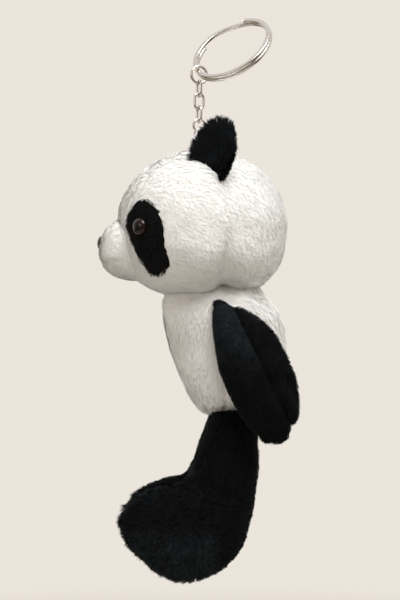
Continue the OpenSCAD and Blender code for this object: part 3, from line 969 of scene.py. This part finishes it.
def make_stitches(name, body, path, out):
    """A white seam's thread: short stitches along a path on the cloth, each dipping in at its ends."""
    at = np.concatenate([[0], np.cumsum(np.linalg.norm(np.diff(path, axis=0), axis=1))])
    pitch, length, thread = 1.7, 1.25, 0.26
    arch = 0.22 * np.sin(np.linspace(0, math.pi, 7)) - 0.08
    points, triangles, count = [], [], 0
    for start in np.arange(0.4, at[-1] - length, pitch):
        along = np.linspace(start, start + length, len(arch))
        line, rise = (np.stack([np.interp(along, at, v[:, k]) for k in range(3)], -1) for v in (path, out))
        more, faces = sweep(line + rise * arch[:, None], rise, round_profile(thread, 8))
        points.append(more)
        triangles.append(faces + count)
        count += len(more)
    stitches = link_mesh(f"{name}_stitches", np.concatenate(points), np.concatenate(triangles), WHITE_THREAD)
    seat(stitches, body, "white_plush")


def make_seams():
    """Stitches round the head's side seam, over its crown, and down both sides of the torso."""
    around, over = np.radians(np.linspace(-35, 215, 120)), np.linspace(-0.5, 2.6, 120)
    back = np.full(120, (SIDE_SEAM_Y - HEAD_AT[1]) / HEAD_HALF[1])
    across = np.sqrt(1 - back**2)
    for name, directions in (
            ("head_side_seam", np.stack([across * np.cos(around), back, across * np.sin(around)], -1)),
            ("crown_seam", np.stack([np.zeros(120), np.cos(over), np.sin(over)], -1))):
        make_stitches(name, "head", head_points(unit(directions)), unit(directions))
    rows = catmull(np.array(TORSO, float), 8)[10:-6]
    middle, half = (rows[:, 0:2] + rows[:, 2:4]) / 2, (rows[:, 2:4] - rows[:, 0:2]) / 2
    share = np.clip((TORSO_SEAM_Y - middle[:, 0]) / half[:, 0], -1, 1)
    reach = (1 - np.abs(share) ** TORSO_POWER) ** (1 / TORSO_POWER)
    for side, sign in SIDES:
        x = sign * (rows[:, 4] + rows[:, 5] * reach - 0.5)
        path = np.stack([x, middle[:, 0] + half[:, 0] * share, middle[:, 1] + half[:, 1] * share], -1)
        out = np.broadcast_to(np.array([sign, 0, 0.0]), path.shape)
        make_stitches(f"torso_{side}_seam", "torso", path, out)


def make_ribbon():
    """The ribbon goes up, gathers over the end ring's wire and comes down again into the head."""
    bend, lower_end = END_WIRE / 2 + 0.32, -29.0
    half_gathered, half_flat, thickness = 1.35, 3.0, 0.26
    leg = np.linspace(lower_end, END_BOTTOM, 26)
    arc = np.radians(np.linspace(180, 0, 15))[1:-1]
    path = np.array([(-bend, z) for z in leg]
                    + [(bend * math.cos(b), END_BOTTOM + bend * math.sin(b)) for b in arc]
                    + [(bend, z) for z in leg[::-1]])
    flat = smooth(END_BOTTOM - path[:, 1], -0.6, 3.2)[:, None]
    w = np.linspace(-1, 1, 25)
    half = (half_gathered + (half_flat - half_gathered) * flat) * w
    pleat = 0.22 * (1 - flat) * np.cos(w * math.pi * 3.5)
    direction = unit(np.gradient(path, axis=0))
    out = np.stack([-direction[:, 1], direction[:, 0]], -1)
    inner, outer = ((path[:, :1] + out[:, :1] * (pleat + offset))[..., None] * HOLE + half[..., None] * LEVEL
                    + (path[:, 1:] + out[:, 1:] * (pleat + offset))[..., None] * UP
                    for offset in (0.0, thickness))
    points = np.concatenate([inner, outer[:, ::-1]], axis=1).reshape(-1, 3)
    triangles = outward(points, grid_triangles(len(path), 2 * len(w)))
    seat(link_mesh("ribbon_loop_satin", points, triangles, RIBBON), "head", "ribbon", "ribbon_loop")


# ---------------------------------------------------------------- assembly

make_head()
make_muzzle()
make_nose()
for side, sign in SIDES:
    make_eye_patch(side, sign)
    make_eye(side, sign)
    make_ear(side, sign)
    make_arm(side, sign)
    make_leg(side, sign)
make_torso()
make_seams()
make_key_ring()
make_wire_ring("connector_ring", CONNECTOR_R, WIRE, CONNECTOR_Z)
for number in (1, 2, 3):
    make_link(number)
make_wire_ring("end_ring", END_R, END_WIRE, END_TOP - END_R)
make_ribbon()

for name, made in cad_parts.items():
    if "washer" in name:
        for slot in made.material_slots:
            slot.material = WASHER


# ---------------------------------------------------------------- floor and light

def make_floor():
    """A round pale table top well below the toy."""
    radius, level, columns = 440, -300.0, 96
    turn = np.linspace(0, 2 * math.pi, columns, endpoint=False)
    rim = np.stack([np.cos(turn) * radius, np.sin(turn) * radius, np.full(columns, level)], -1)
    points = np.concatenate([rim, [[0, 0, level]]])
    triangles = np.array([[k, (k + 1) % columns, columns] for k in range(columns)])
    floor = link_mesh("floor", points, triangles, plain_material("floor", (0.60, 0.57, 0.53), 0.9, 6.0))


def make_light(name, at, size, watts, colour):
    """A round soft light that faces the toy's middle."""
    target = Vector((0, 0, -0.08))
    light = bpy.data.lights.new(name, "AREA")
    light.shape, light.size, light.energy, light.color = "DISK", size, watts, colour
    lamp = bpy.data.objects.new(name, light)
    bpy.context.scene.collection.objects.link(lamp)
    lamp.location = at
    lamp.rotation_euler = (target - Vector(at)).to_track_quat("-Z", "Y").to_euler()


def make_world():
    """Pale behind the toy, bright above, and darker and warmer below and on the camera's side."""
    world = bpy.data.worlds.new("room")
    bpy.context.scene.world = world
    world.use_nodes = True
    tree = world.node_tree
    coordinates = tree.nodes.new("ShaderNodeTexCoord")
    split = tree.nodes.new("ShaderNodeSeparateXYZ")
    tree.links.new(coordinates.outputs["Generated"], split.inputs["Vector"])
    level = node(tree, "ShaderNodeMapRange", **{"From Min": -1.0})
    tree.links.new(split.outputs["Z"], level.inputs["Value"])
    near = node(tree, "ShaderNodeMapRange", **{"From Min": -0.3, "From Max": 0.5})
    tree.links.new(split.outputs["X"], near.inputs["Value"])
    below, low, wall = (0.18, 0.135, 0.10), (0.28, 0.22, 0.165), (0.83, 0.78, 0.71)
    sky = ramp(tree, level.outputs["Result"],
               [(0.0, below), (0.36, low), (0.41, wall), (0.62, wall), (0.85, (1.0, 1.0, 1.0))])
    dim = ramp(tree, near.outputs["Result"], [(0.0, (1, 1, 1)), (1.0, (0.52, 0.49, 0.46))])
    background = tree.nodes["Background"]
    tree.links.new(multiplied(tree, sky, dim), background.inputs["Color"])
    background.inputs["Strength"].default_value = 1.0


make_floor()
make_world()
make_light("key", (0.34, 0.16, 0.50), 0.48, 6.3, (0.97, 1.0, 1.0))
make_light("side", (0.55, -0.45, 0.15), 0.35, 0.8, (1.0, 0.98, 0.95))

bpy.context.scene.view_settings.view_transform = "Standard"
